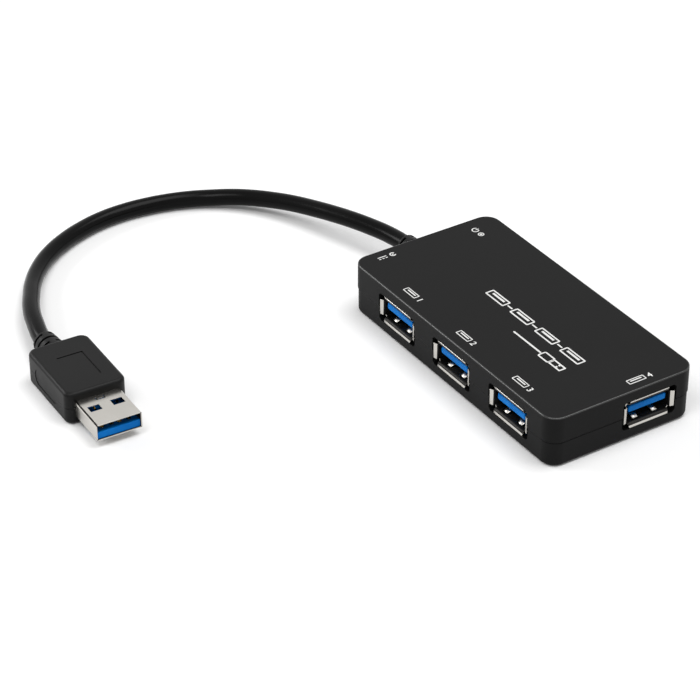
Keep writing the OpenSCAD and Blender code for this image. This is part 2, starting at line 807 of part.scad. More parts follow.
plug_flat_path = [[-plug_flat_start, -contact_t / 2], [-plug_flat_start - plug_flat_l, -contact_t / 2],
    [-plug_flat_start - plug_flat_l, -plug_flat_low], [plug_back + contact_t / 2, -plug_flat_low]];
plug_block_front = plug_back + insert_block_l;
plug_tail_path = [[plug_back + contact_t / 2, plug_spring_z],
    [plug_block_front - spring_seat - contact_t, plug_spring_z]];
plug_spring_path = [[plug_block_front - spring_seat, plug_spring_z], [plug_block_front + 0.3, plug_spring_z],
    [plug_block_front + plug_spring_peak, plug_spring_z + plug_spring_bump],
    [plug_block_front + plug_spring_l, plug_spring_z - 0.1]];

module plug_insert() {
    color("#0f62b8") at_plug() translate([0, 0, plug_z]) difference() {
        translate([plug_back, 0, 0]) rotate([90, 0, 90]) linear_extrude(-plug_back - insert_recess)
            round_rect(slot_w - 2 * fit, slot_h - 2 * fit, plug_corner_r - sheet_t);
        translate([plug_block_front, -slot_w, -slot_h / 2 + insert_t])
            cube([insert_block_l + plug_l, 2 * slot_w, slot_h]);
        for (y = spring_xs) translate([0, y, 0]) rotate([0, 0, -90])
            bent_strip(plug_flat_w + 2 * eps, contact_t + 2 * eps, plug_flat_path);
        for (y = flat_xs) {
            translate([0, y, 0]) rotate([0, 0, -90])
                bent_strip(tail_w + 2 * eps, contact_t + 2 * eps, plug_tail_path);
            translate([plug_block_front - spring_seat - contact_t / 2, y - flat_w / 2 - moving_gap,
                    plug_spring_z - contact_t / 2 - moving_gap])
                cube([spring_seat + contact_t, flat_w + 2 * moving_gap, contact_t + 2 * moving_gap]);
            translate([plug_block_front, y - flat_w / 2 - moving_gap, -plug_groove])
                cube([plug_spring_l + 0.3, flat_w + 2 * moving_gap, plug_groove + 1]);
        }
    }
}

module plug_contacts() {
    color("#d3a63f") at_plug() translate([0, 0, plug_z]) {
        for (y = spring_xs) translate([0, y, 0]) rotate([0, 0, -90])
            bent_strip(plug_flat_w, contact_t, plug_flat_path);
        for (y = flat_xs) translate([0, y, 0]) rotate([0, 0, -90])
            bent_strip(tail_w, contact_t, plug_tail_path);
    }
}

module plug_springs() {
    color("#d3a63f") at_plug() translate([0, 0, plug_z])
        for (y = flat_xs) translate([0, y, 0]) rotate([0, 0, -90])
            sprung_strip(flat_w, contact_t, plug_spring_path);
}

top_shell();
bottom_shell();
circuit_board();
at_socket(1) socket_shell();  // port_1_shell
at_socket(2) socket_shell();  // port_2_shell
at_socket(3) socket_shell();  // port_3_shell
at_socket(4) socket_shell();  // port_4_shell
at_socket(1) socket_insulator();  // port_1_insulator
at_socket(2) socket_insulator();  // port_2_insulator
at_socket(3) socket_insulator();  // port_3_insulator
at_socket(4) socket_insulator();  // port_4_insulator
at_socket(1) socket_contacts();  // port_1_contacts
at_socket(2) socket_contacts();  // port_2_contacts
at_socket(3) socket_contacts();  // port_3_contacts
at_socket(4) socket_contacts();  // port_4_contacts
at_socket(1) socket_springs();  // port_1_springs
at_socket(2) socket_springs();  // port_2_springs
at_socket(3) socket_springs();  // port_3_springs
at_socket(4) socket_springs();  // port_4_springs
hub_chip();
crystal_can();
crystal_base();
capacitor_cans();
capacitor_bases();
chip_capacitors();
chip_resistors();
voltage_regulator();
resettable_fuses();
inlet_housing();
inlet_pin();
inlet_terminal();
inlet_spring();
power_light();
light_leads();
strain_relief();
lead_wires();
lead();
plug_grip();
plug_shell();
plug_insert();
plug_contacts();
plug_springs();
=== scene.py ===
# %% [markdown]
# # A four-socket data hub and its short lead
# The hub is a flat black box with four blue-tongued sockets, a power inlet and a power light.
# A captive lead comes out of one end and lies in a loose curve, ending in its plug.
# The construction model arrives as a fixed frame in metres. This lesson builds the looks around it.
# It works in millimetres, as the maker of the parts would, and turns to metres at the last moment.

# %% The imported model
import json
import math

import bmesh
import bpy
from mathutils import Matrix, Vector


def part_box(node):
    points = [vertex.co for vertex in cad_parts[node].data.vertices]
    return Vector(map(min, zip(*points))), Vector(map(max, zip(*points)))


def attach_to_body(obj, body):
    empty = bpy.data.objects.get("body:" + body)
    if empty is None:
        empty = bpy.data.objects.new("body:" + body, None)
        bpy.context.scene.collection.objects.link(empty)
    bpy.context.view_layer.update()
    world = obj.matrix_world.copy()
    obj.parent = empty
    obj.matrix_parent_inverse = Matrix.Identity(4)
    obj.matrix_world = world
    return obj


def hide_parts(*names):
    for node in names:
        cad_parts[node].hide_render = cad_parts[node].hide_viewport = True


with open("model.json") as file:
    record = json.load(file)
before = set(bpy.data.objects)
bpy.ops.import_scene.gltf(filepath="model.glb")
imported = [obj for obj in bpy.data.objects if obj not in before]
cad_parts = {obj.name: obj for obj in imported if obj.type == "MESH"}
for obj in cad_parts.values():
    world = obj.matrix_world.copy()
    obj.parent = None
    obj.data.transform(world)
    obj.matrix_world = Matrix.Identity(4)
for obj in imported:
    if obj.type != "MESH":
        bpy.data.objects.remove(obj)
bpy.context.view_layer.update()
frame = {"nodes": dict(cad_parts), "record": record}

MM = 0.001
scene = bpy.context.scene
nodes = frame["nodes"]


def box_mm(node):
    """Lowest and highest corner of a construction piece, in millimetres"""
    low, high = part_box(node)
    return Vector(low) / MM, Vector(high) / MM


casing_low, casing_high = box_mm("top_shell")
LENGTH, WIDTH = casing_high.x - casing_low.x, casing_high.y - casing_low.y
print(f"casing {LENGTH:.1f} x {WIDTH:.1f} x {casing_high.z:.1f} mm, {len(nodes)} construction pieces")

# %% [markdown]
# ## Camera
# A long lens, high over one corner and far away, keeps the box's edges almost parallel.
# The view is held level, so three directions, right, up and back, are enough to turn the camera.

# %% Camera
HEADING, TILT = math.radians(57.061), math.radians(33.558)
AIM, DISTANCE = Vector((-25.98, -32.37, 0)), 699.8
LENS, SENSOR = 145.12, 36

back = Vector((math.sin(HEADING) * math.cos(TILT), -math.cos(HEADING) * math.cos(TILT), math.sin(TILT)))
right = Vector((math.cos(HEADING), math.sin(HEADING), 0))
turned = Matrix((right, back.cross(right), back)).transposed().to_4x4()
camera = bpy.data.objects.new("camera", bpy.data.cameras.new("camera"))
camera.data.lens, camera.data.sensor_width = LENS, SENSOR
camera.data.clip_start, camera.data.clip_end = 0.01, 20
camera.matrix_world = Matrix.Translation((AIM + back * DISTANCE) * MM) @ turned
scene.collection.objects.link(camera)
scene.camera = camera
scene.view_settings.view_transform = "Standard"
print("camera at", [round(v, 3) for v in camera.location])

# %% [markdown]
# ## Finishes
# Nearly everything here is moulded plastic or plated sheet, and no real surface is one flat colour.
# Each finish drifts between two shades and two levels of gloss over patches some millimetres wide,
# and carries a fine grain as relief. Coordinates are turned to millimetres first, so every size in a
# finish is a real size.


# %% Colours and nodes
def linear(colour):
    """An sRGB hex colour as the linear values that a shader takes"""
    parts = [int(colour[i:i + 2], 16) / 255 for i in (1, 3, 5)]
    return (*[p / 12.92 if p <= 0.04045 else ((p + 0.055) / 1.055) ** 2.4 for p in parts], 1)


def add(tree, kind, settings=(), links=()):
    """Adds a node: settings are its own properties, its inputs or its ramp's stops; links feed inputs"""
    node = tree.nodes.new("ShaderNode" + kind)
    for key, value in dict(settings).items():
        if key == "stops":
            ramp = node.color_ramp.elements
            while len(ramp) < len(value):
                ramp.new(0.5)
            for stop, (place, colour) in zip(ramp, value):
                stop.position, stop.color = place, linear(colour)
        elif isinstance(key, str) and hasattr(node, key):
            setattr(node, key, value)
        else:
            node.inputs[key].default_value = value
    for key, socket in dict(links).items():
        tree.links.new(socket, node.inputs[key])
    return node


# %% One finish
def finish(name, shades, gloss, grain, relief, patch=9, stretch=(1, 1, 1), **sockets):
    """A finish with two shades, two roughnesses, and a grain of that size and relief, all in mm"""
    material = bpy.data.materials.new(name)
    material.use_nodes = True
    tree = material.node_tree
    shader = tree.nodes["Principled BSDF"]
    place = add(tree, "TexCoord")
    in_mm = add(tree, "Mapping", {"Scale": (1 / MM,) * 3}, {"Vector": place.outputs["Object"]})
    drift = add(tree, "TexNoise", {"Scale": 1 / patch, "Detail": 3.0}, {"Vector": in_mm.outputs[0]})
    shade = add(tree, "ValToRGB", {"stops": ((0.35, shades[0]), (0.65, shades[1]))},
                {"Fac": drift.outputs[0]})
    sheen = add(tree, "MapRange",
                {"From Min": 0.3, "From Max": 0.7, "To Min": gloss[0], "To Max": gloss[1]},
                {"Value": drift.outputs[0]})
    lay = add(tree, "Mapping", {"Scale": stretch}, {"Vector": in_mm.outputs[0]})
    fine = add(tree, "TexNoise", {"Scale": 1 / grain, "Detail": 4.0}, {"Vector": lay.outputs[0]})
    bump = add(tree, "Bump", {"Strength": 1.0, "Distance": relief * MM}, {"Height": fine.outputs[0]})
    for output, socket in ((shade.outputs[0], "Base Color"), (sheen.outputs[0], "Roughness"),
                           (bump.outputs[0], "Normal")):
        tree.links.new(output, shader.inputs[socket])
    for socket, value in sockets.items():
        shader.inputs[socket.replace("_", " ")].default_value = value
    return material


# %% [markdown]
# ## Tools for shapes
# Most pieces are lofts: one outline drawn several times, each smaller or further along, with a skin
# between neighbours. Rounded edges are then plain arithmetic and the mesh stays tidy. Openings are
# carved with closed cutters, and a small bevel finishes the edges that are left sharp.


# %% Outlines and skins
def outline(length, width, radius, steps=8):
    """Points once round a rectangle with round corners, centred on the origin"""
    points = []
    for quarter, (sx, sy) in enumerate(((1, 1), (-1, 1), (-1, -1), (1, -1))):
        for k in range(steps + 1):
            angle = math.radians(90 * (quarter + k / steps))
            points.append(Vector((sx * (length / 2 - radius) + radius * math.cos(angle),
                                  sy * (width / 2 - radius) + radius * math.sin(angle), 0)))
    return points


def circle(radius, steps=48):
    """Points once round a circle, centred on the origin"""
    turns = [math.tau * k / steps for k in range(steps)]
    return [Vector((radius * math.cos(turn), radius * math.sin(turn), 0)) for turn in turns]


def raised(points, z):
    """The same points at another height"""
    return [Vector((p.x, p.y, z)) for p in points]


def skin(bm, rings, place=Matrix(), closed=False):
    """Adds a skin over rings of points, with caps, or from the last ring back to the first if closed"""
    rows = [[bm.verts.new(place @ point) for point in ring] for ring in rings]
    for low, high in zip(rows, rows[1:] + rows[:1] if closed else rows[1:]):
        for i in range(len(low)):
            j = (i + 1) % len(low)
            bm.faces.new((low[i], low[j], high[j], high[i]))
    if not closed:
        bm.faces.new(rows[0][::-1])
        bm.faces.new(rows[-1])


def block(bm, low, high, place=Matrix()):
    """Adds a block between two corners"""
    corners = [Vector((x, y, 0)) for x, y in
               ((low[0], low[1]), (high[0], low[1]), (high[0], high[1]), (low[0], high[1]))]
    skin(bm, [raised(corners, low[2]), raised(corners, high[2])], place)


def edge(radius, end, steps=5):
    """(inset, height) pairs round an edge that ends flat at that height, or starts there if radius < 0"""
    turns = [math.radians(90 * k / steps) for k in range(steps + 1)]
    side = 1 if radius > 0 else -1
    radius = abs(radius)
    return [(radius * (1 - math.cos(t)), end - side * radius * (1 - math.sin(t))) for t in turns][::side]


# %% From outlines to pieces
def as_mesh(bm, name="shape"):
    """Millimetre work as a mesh in metres, its faces turned outwards"""
    bmesh.ops.remove_doubles(bm, verts=bm.verts, dist=1e-4)
    bmesh.ops.recalc_face_normals(bm, faces=bm.faces)
    bmesh.ops.scale(bm, vec=(MM, MM, MM), verts=bm.verts)
    mesh = bpy.data.meshes.new(name)
    bm.to_mesh(mesh)
    bm.free()
    return mesh


def new_piece(name, bm):
    """A new object in the scene from millimetre work"""
    piece = bpy.data.objects.new(name, as_mesh(bm, name))
    scene.collection.objects.link(piece)
    return piece


def settle(piece):
    """Makes what a piece's modifiers do its own mesh"""
    bpy.context.view_layer.update()
    mesh = bpy.data.meshes.new_from_object(piece.evaluated_get(bpy.context.evaluated_depsgraph_get()))
    piece.modifiers.clear()
    piece.data = mesh


def carve(piece, cutters):
    """Cuts closed shapes out of a piece"""
    tool = new_piece("cutters", cutters)
    cut = piece.modifiers.new("carve", "BOOLEAN")
    cut.object, cut.operation, cut.solver = tool, "DIFFERENCE", "EXACT"
    settle(piece)
    bpy.data.objects.remove(tool)


def merge(piece, mesh):
    """Adds another mesh's faces to a piece's own"""
    both = bmesh.new()
    both.from_mesh(piece.data)
    both.from_mesh(mesh)
    both.to_mesh(piece.data)
    both.free()


def attach(piece, extra):
    """Adds closed shapes to a piece's mesh"""
    merge(piece, as_mesh(extra))


def soften(piece, width, angle=40, segments=2):
    """Rounds the edges sharper than angle, or keeps them crisp at no width, with flat faces between them"""
    for face in piece.data.polygons:
        face.use_smooth = True
    if width:
        bevel = piece.modifiers.new("soften", "BEVEL")
        bevel.width, bevel.segments, bevel.limit_method = width * MM, segments, "ANGLE"
        bevel.angle_limit = math.radians(angle)
    else:
        piece.data.set_sharp_from_angle(angle=math.radians(angle))
    piece.modifiers.new("flat faces", "WEIGHTED_NORMAL").keep_sharp = True


def hand_over(piece, material, slot, *stands_for, body="root"):
    """Gives a piece its finish and its body, and hides the construction pieces that it stands for"""
    piece.data.materials.clear()
    piece.data.materials.append(material)
    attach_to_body(piece, body)
    if stands_for:
        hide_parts(*stands_for)
    return piece


# %% [markdown]
# ## The lead
# A screened data lead is a round soft jacket, 4.5 mm across, over a bundle of wires. It leaves the
# strain relief level, sinks to the table under its own weight and comes back to the plug in one loose
# curve. A curve object is the natural way to make it: the route is its centreline and the bevel is
# its radius. Soft polyvinyl chloride straight from the extruder is satin, with a broad dull highlight.

# %% Lead
JACKET = 4.5
ROUTE = [
    (-38.1, 1, 6.8), (-43.9, 1, 6.8), (-51, 1, 6.8), (-57.5, 0, 6.8), (-63, -1.5, 6.7),
    (-69, -3.5, 6.5), (-75, -5.7, 6.1), (-81, -8, 5.5), (-87, -10.7, 4.9), (-92.5, -13.7, 4.2),
    (-97.5, -17.3, 3.6), (-101.5, -21.1, 3.1), (-105, -25.6, 2.6), (-107.7, -30.4, 2.4),
    (-109.8, -36, 2.3), (-111.1, -42, 2.3), (-111.7, -49, 2.3), (-111.2, -56, 2.3),
    (-109.6, -62.5, 2.3), (-107, -69, 2.3), (-103.3, -75.3, 2.3), (-98.4, -80.9, 2.4),
    (-92.3, -85.8, 2.8), (-85.9, -89.6, 3.5), (-79.4, -92.9, 4.1), (-72.5, -95.3, 4.4),
    (-65.34, -97.06, 4.4), (-59.75, -97.35, 4.4), (-54.54, -97.63, 4.4)]

extruded_pvc = finish("extruded_soft_pvc", ("#030303", "#060606"), (0.2, 0.25), 0.5, 0.001, patch=14,
                      IOR=1.53, Specular_IOR_Level=0.08)
curve = bpy.data.curves.new("lead_jacket", "CURVE")
curve.dimensions, curve.fill_mode, curve.use_fill_caps = "3D", "FULL", True
curve.bevel_depth, curve.bevel_resolution, curve.resolution_u = JACKET / 2 * MM, 8, 8
spline = curve.splines.new("BEZIER")
spline.bezier_points.add(len(ROUTE) - 1)
for knot, place in zip(spline.bezier_points, ROUTE):
    knot.co = Vector(place) * MM
    knot.handle_left_type = knot.handle_right_type = "AUTO"
spline.use_smooth = True
curve.materials.append(extruded_pvc)
lead = bpy.data.objects.new("lead_jacket", curve)
scene.collection.objects.link(lead)
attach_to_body(lead, "root")
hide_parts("lead")
lead_length = sum((Vector(a) - Vector(b)).length for a, b in zip(ROUTE, ROUTE[1:]))
print(f"lead {lead_length:.0f} mm long from inside the casing to inside the plug's grip")

# %% [markdown]
# ## The casing
# Two moulded shells meet at a parting line just below mid height: a deep lid with sharp top edges,
# and a tray with a rounded bottom edge, a fifth of a millimetre smaller all round. Boxes could be
# joined and rounded with bevels, but a loft gives each edge its own radius, so both shells are lofted
# from the same outline at different insets. Then the openings are carved through the walls.

# %% Casing sizes
CORNER, WALL, SKIN, PARTING = 4.0, 1.6, 1.5, 6.8
TOP_EDGE, BOTTOM_EDGE, STEP, RIM = 0.3, 1.2, 0.2, 0.22
LIP, LIP_ROOM, LIP_GROOVE, LIP_WALL = 0.9, 1.0, 0.9, 1.0
INK = 0.02
TOP = casing_high.z - INK

moulded_abs = finish("spark_textured_abs", ("#0c0c0c", "#101010"), (0.48, 0.54), 0.35, 0.006, patch=18,
                     IOR=1.54, Specular_IOR_Level=0.09)
# The top edges' extra gloss is real, from lower roughness and a higher specular level; their lighter base
# colour is a painted highlight
edge_gloss_and_painted_highlight = finish("abs_edge_polish_and_painted_highlight", ("#141414", "#191919"), (0.2, 0.26), 0.35, 0.001, patch=18,
                  IOR=1.54, Specular_IOR_Level=0.5)


def casing_rings(pairs):
    """Outlines round the casing from (inset, height) pairs"""
    return [raised(outline(LENGTH - 2 * inset, WIDTH - 2 * inset, CORNER - inset), z) for inset, z in pairs]


# %% Sockets' places
mouths = {}
for number in (1, 2, 3, 4):
    low, high = box_mm(f"port_{number}_insulator")
    middle = (low + high) / 2
    shell_low, shell_high = box_mm(f"port_{number}_shell")
    if number < 4:
        mouths[number] = Matrix.Translation((middle.x, shell_low.y, middle.z))
    else:
        end_wall = Matrix.Translation((shell_high.x, middle.y, middle.z))
        mouths[number] = end_wall @ Matrix.Rotation(math.radians(90), 4, "Z")
    print(f"socket {number} mouth at", [round(v, 2) for v in mouths[number].translation])


# %% Openings in the walls
OPENING_W, OPENING_H, OPENING_CUT = 15.7, 8.02, 0.7
OPENING_OUT, OPENING_IN = -1.5, 1.8
HOLES = {"inlet_housing": 3.0, "power_light": 1.6, "strain_relief": 3.05}
HOLE_OUT, HOLE_IN = 1, 1.5
INTO_WALL = Matrix(((1, 0, 0, 0), (0, 0, 1, 0), (0, 1, 0, 0), (0, 0, 0, 1)))
ALONG_X = Matrix.Rotation(math.radians(90), 4, "Y")


def wall_openings():
    """Cutters for the sockets, the inlet, the power light and the lead"""
    bm = bmesh.new()
    mouth_shape = outline(OPENING_W, OPENING_H, OPENING_CUT, steps=1)
    for place in mouths.values():
        skin(bm, [raised(mouth_shape, OPENING_OUT), raised(mouth_shape, OPENING_IN)], place @ INTO_WALL)
    for node, radius in HOLES.items():
        low, high = box_mm(node)
        centre = (low + high) / 2
        hole = circle(radius)
        spot = Matrix.Translation((casing_low.x - HOLE_OUT, centre.y, centre.z)) @ ALONG_X
        skin(bm, [raised(hole, 0), raised(hole, WALL + HOLE_IN)], spot)
    return bm


# %% Lid
OPENING_EDGE = 0.1
UPRIGHT, LEVEL = 0.05, 0.99
lid_bm = bmesh.new()
skin(lid_bm, casing_rings([(WALL, TOP - SKIN), (WALL, PARTING + LIP_ROOM),
                           (LIP_GROOVE, PARTING + LIP_ROOM), (LIP_GROOVE, PARTING), (RIM, PARTING),
                           (0, PARTING + RIM), *edge(TOP_EDGE, TOP)]))
lid = new_piece("casing_lid", lid_bm)
carve(lid, wall_openings())
soften(lid, OPENING_EDGE)
hand_over(lid, moulded_abs, "casing_top", "top_shell")
# The faces of the rounded top edge take the glossy finish with its painted highlight
lid.data.materials.append(edge_gloss_and_painted_highlight)
for face in lid.data.polygons:
    if TOP - TOP_EDGE < face.center.z / MM < TOP and UPRIGHT < face.normal.z < LEVEL:
        face.material_index = 1
print("lid faces", len(lid.data.polygons))

# %% Tray
tray_bm = bmesh.new()
skin(tray_bm, casing_rings([*[(inset + STEP, z) for inset, z in edge(-BOTTOM_EDGE, 0)],
                            (STEP, PARTING - RIM), (STEP + RIM, PARTING), (LIP_WALL, PARTING),
                            (LIP_WALL, PARTING + LIP), (WALL, PARTING + LIP), (WALL, SKIN)]))
tray = new_piece("casing_tray", tray_bm)
carve(tray, wall_openings())
soften(tray, OPENING_EDGE)
hand_over(tray, moulded_abs, "casing_bottom", "bottom_shell")
print("tray faces", len(tray.data.polygons))

# %% Screw-free posts
POST_R, PIN_R, PIN_TOP, BOARD_LOW, BOARD_HIGH = 2.3, 1.0, 8.3, 3.1, 4.3
POST_X, POST_Y, OVERLAP = 11.8, 15.5, 0.01
PIN_ROOM, PIN_TIP, BORE_ROOM = 0.05, 0.2, 0.5
posts_bm, pins_bm = bmesh.new(), bmesh.new()
wall, pin, tip, bore = (circle(r, 32) for r in (POST_R, PIN_R, PIN_R - PIN_TIP, PIN_R + PIN_ROOM))
post_x = [mouths[2].translation.x + side * POST_X for side in (-1, 1)]
for x in post_x:
    for y in (-POST_Y, POST_Y):
        spot = Matrix.Translation((x, y, 0))
        skin(posts_bm, [raised(wall, TOP - SKIN + OVERLAP), raised(wall, BOARD_HIGH),
                        raised(bore, BOARD_HIGH), raised(bore, PIN_TOP + BORE_ROOM)], spot)
        skin(pins_bm, [raised(wall, SKIN - OVERLAP), raised(wall, BOARD_LOW), raised(pin, BOARD_LOW),
                       raised(pin, PIN_TOP - PIN_TIP), raised(tip, PIN_TOP)], spot)
attach(lid, posts_bm)
attach(tray, pins_bm)
print("posts at x", [round(x, 1) for x in post_x])

# %% [markdown]
# ## The sockets
# Each socket is a box folded from one nickel-plated steel sheet, 0.3 mm thick. Its mouth flares into
# four flaps, and two sprung fingers are stamped out of the floor and two out of the roof to grip a
# plug. The sheet is drawn at its middle thickness as a grid of rows, so that slots are just faces
# left out and the fingers are points pushed inwards; a solidify modifier then gives the thickness.

# %% Sheet of a socket
SHEET = 0.3
SOCKET_X, SOCKET_Z, SOCKET_R = 6.4, 2.71, 0.45
FLAP_X, FLAP_Z, FLARE, LAST_ROW, SOCKET_BACK = 5.9, 2.2, 1.05, 12, 17.35
SLOT_FRONT, FINGER_ROOT = 1.35, 8.55
SLOT_IN, FINGER_IN, FINGER_MID, FINGER_OUT, SLOT_OUT = 1.65, 1.9, 2.9, 3.9, 4.15
BEND_STEPS, FLAP_TRIM = 4, 0.008
# How far a finger bows inwards, how narrow it is, and how a flap rolls outwards, by distance inwards
BOW = {1.6: 0.0, 1.9: 0.22, 2.2: 0.44, 2.5: 0.58, 2.95: 0.62, 3.8: 0.52, 5.0: 0.34, 6.2: 0.2, 7.4: 0.08}
TAPER = {1.6: 0.7, 1.9: 0.78, 2.2: 0.86, 2.5: 0.95}
FLAP = [(0.8, 0.01), (0.62, 0.05), (0.48, 0.15), (0.38, 0.3), (0.31, 0.52), (0.24, 0.74), (0.13, 1.07)]


def sheet_stations():
    """Points once round the socket at mid thickness: place, way outwards, and the wall it lies on"""
    one_side = [SLOT_IN, FINGER_IN, FINGER_MID, FINGER_OUT, SLOT_OUT, FLAP_X]
    across = [*[-x for x in reversed(one_side)], 0, *one_side]
    upward = [-FLAP_Z, 0, FLAP_Z]
    walls = [("floor", [(x, -SOCKET_Z) for x in across], (0, -1)),
             ("right", [(SOCKET_X, z) for z in upward], (1, 0)),
             ("roof", [(-x, SOCKET_Z) for x in across], (0, 1)),
             ("left", [(-SOCKET_X, -z) for z in upward], (-1, 0))]
    stations = []
    for quarter, (wall, places, out) in enumerate(walls):
        stations += [(x, z, out, wall) for x, z in places]
        sx, sz = ((1, -1), (1, 1), (-1, 1), (-1, -1))[quarter]
        for k in range(BEND_STEPS + 1):
            turn = math.radians(-90 + 90 * quarter + 90 * k / BEND_STEPS)
            stations.append((sx * (SOCKET_X - SOCKET_R) + SOCKET_R * math.cos(turn),
                             sz * (SOCKET_Z - SOCKET_R) + SOCKET_R * math.sin(turn), None, "corner"))
    return stations


def socket_sheet():
    """A socket's sheet at its middle thickness, with its slots, fingers and flaps"""
    bm = bmesh.new()
    stations = sheet_stations()
    rows = [FLARE, SLOT_FRONT, *BOW, FINGER_ROOT, LAST_ROW, SOCKET_BACK]
    grid = []
    for y in rows:
        line = []
        for x, z, out, wall in stations:
            bowed = wall in ("floor", "roof") and SLOT_IN < abs(x) < SLOT_OUT
            lift = BOW.get(y, 0) if bowed else 0
            if bowed:
                x = math.copysign(FINGER_MID + (abs(x) - FINGER_MID) * TAPER.get(y, 1), x)
            line.append(bm.verts.new((x, y, z - lift * (1 if z > 0 else -1))))
        grid.append(line)
    count = len(stations)
    for r in range(len(rows) - 1):
        for i in range(count):
            j = (i + 1) % count
            span = sorted((abs(stations[i][0]), abs(stations[j][0])))
            flat = stations[i][3] == stations[j][3] and stations[i][3] in ("floor", "roof")
            beside = span in ([SLOT_IN, FINGER_IN], [FINGER_OUT, SLOT_OUT])
            in_slot = flat and beside and SLOT_FRONT <= rows[r] < FINGER_ROOT
            at_tip = flat and rows[r] == SLOT_FRONT and FINGER_IN <= span[0] and span[1] <= FINGER_OUT
            if not (in_slot or at_tip):
                bm.faces.new((grid[r][i], grid[r][j], grid[r + 1][j], grid[r + 1][i]))
    for wall in ("floor", "right", "roof", "left"):
        members = [i for i in range(count) if stations[i][3] == wall]
        before = [grid[0][i] for i in members]
        for step, (y, out) in enumerate(FLAP):
            trim = 1 - FLAP_TRIM * max(0, step - 2)
            line = []
            for i in members:
                x, z, way, _ = stations[i]
                line.append(bm.verts.new((x * (trim if way[1] else 1) + out * way[0], y,
                                          z * (trim if way[0] else 1) + out * way[1])))
            for k in range(len(members) - 1):
                bm.faces.new((before[k], before[k + 1], line[k + 1], line[k]))
            before = line
    loose = [v for v in bm.verts if not v.link_faces]
    bmesh.ops.delete(bm, geom=loose, context="VERTS")
    return bm


# %% Socket shells
LEG_FOOT, LEG_TOP, LEG_W, LEG_ROWS = -4.46, -1.3, 1.2, (6.45, 13.45)
nickel_sheet = finish("nickel_plated_steel_sheet", ("#c1beb8", "#c9c6c0"), (0.2, 0.25), 0.25, 0.002,
                      patch=12, stretch=(0.15, 0.15, 1), Metallic=1.0)

shell_bm = socket_sheet()
pattern = new_piece("socket_pattern", shell_bm)
thick = pattern.modifiers.new("sheet", "SOLIDIFY")
thick.thickness, thick.offset, thick.use_even_offset = SHEET * MM, 0, True
settle(pattern)
legs = bmesh.new()
for side in (-1, 1):
    for y in LEG_ROWS:
        x = side * SOCKET_X
        block(legs, (x - SHEET / 2, y - LEG_W / 2, LEG_FOOT), (x + SHEET / 2, y + LEG_W / 2, LEG_TOP))
attach(pattern, legs)
# Painted shade: a dark steel colour on the sheet's inner faces stands in for the shade that falls inside each
# socket
painted_shade_sheet = finish("steel_sheet_painted_shade", ("#2c2b2a", "#353433"), (0.45, 0.55), 0.25, 0.003,
                    patch=6, Metallic=1.0)
FINGER_NEAR, FINGER_FAR = 1.85, 3.95
SIDE_BEND, FLOOR_BEND, ROOF_BEND = 0.05, 0.5, 0.7


def is_inside(face):
    """A face of the sheet's inner side, as far out as each flap's bend, that isn't on a finger: it takes the
    painted shade
    """
    x, y, z = face.center / MM
    inwards = face.normal.x * x + face.normal.z * z < 0
    finger = FINGER_NEAR < abs(x) < FINGER_FAR and SLOT_FRONT < y < FINGER_ROOT
    bend = SIDE_BEND if abs(z) < FLAP_Z else FLOOR_BEND if z < 0 else ROOF_BEND
    return inwards and max(abs(x) - SOCKET_X, abs(z) - SOCKET_Z) < bend and not finger


def at_each_mouth(pattern, ending):
    """Copies a pattern to each socket, and gives the socket's number with its copy"""
    for number, place in mouths.items():
        in_metres = Matrix.Translation(place.translation * MM) @ place.to_3x3().to_4x4()
        piece = bpy.data.objects.new(f"socket_{number}_{ending}", pattern.data.copy())
        piece.data.transform(in_metres)
        scene.collection.objects.link(piece)
        yield number, piece


# Inner faces take the painted shade; the rest of the sheet keeps the bright nickel
inside = [is_inside(face) for face in pattern.data.polygons]
for number, shell in at_each_mouth(pattern, "shell"):
    soften(shell, 0.05, angle=50, segments=1)
    hand_over(shell, nickel_sheet, "nickel_plate", f"port_{number}_shell")
    shell.data.materials.append(painted_shade_sheet)
    for face, shaded in zip(shell.data.polygons, inside):
        face.material_index = int(shaded)
bpy.data.objects.remove(pattern)
print("socket shell faces", len(shell.data.polygons), "of which dull", sum(inside))

# %% [markdown]
# ## The blue tongues
# The insulator is one moulding in blue glass-filled polyester: a block that fills the back of the
# socket and a tongue in its upper half. Its edges are rounded so that a plug finds its way in. Four
# slots underneath let the sprung contacts move. Glass fibres leave the moulding slightly matt.

# %% Tongues
TONGUE_W, TONGUE_LOW, TONGUE_HIGH, TONGUE_FRONT, BLOCK_FRONT = 11.1, 0.03, 1.84, 0.95, 12.85
BLOCK_W, BLOCK_H, TONGUE_R, TONGUE_EDGE = 12.4, 5.02, 0.5, 0.3
SPRINGS, SPRING_SLOT, SLOT_LOW, SLOT_TOP = (-3.5, -1, 1, 3.5), 1.1, -1, 0.85
SLOT_START, SLOT_END = 7.15, BLOCK_FRONT + 0.95
blue_polyester = finish("moulded_blue_polyester", ("#0268b8", "#0873c6"), (0.36, 0.44), 0.4, 0.003,
                        patch=5, IOR=1.57, Specular_IOR_Level=0.05)


def tongue_ring(inset, y):
    """An outline round the tongue, that far inside its faces"""
    middle, height = (TONGUE_LOW + TONGUE_HIGH) / 2, TONGUE_HIGH - TONGUE_LOW
    ring = outline(TONGUE_W - 2 * inset, height - 2 * inset, TONGUE_R - inset, steps=4)
    return [Vector((p.x, y, p.y + middle)) for p in ring]


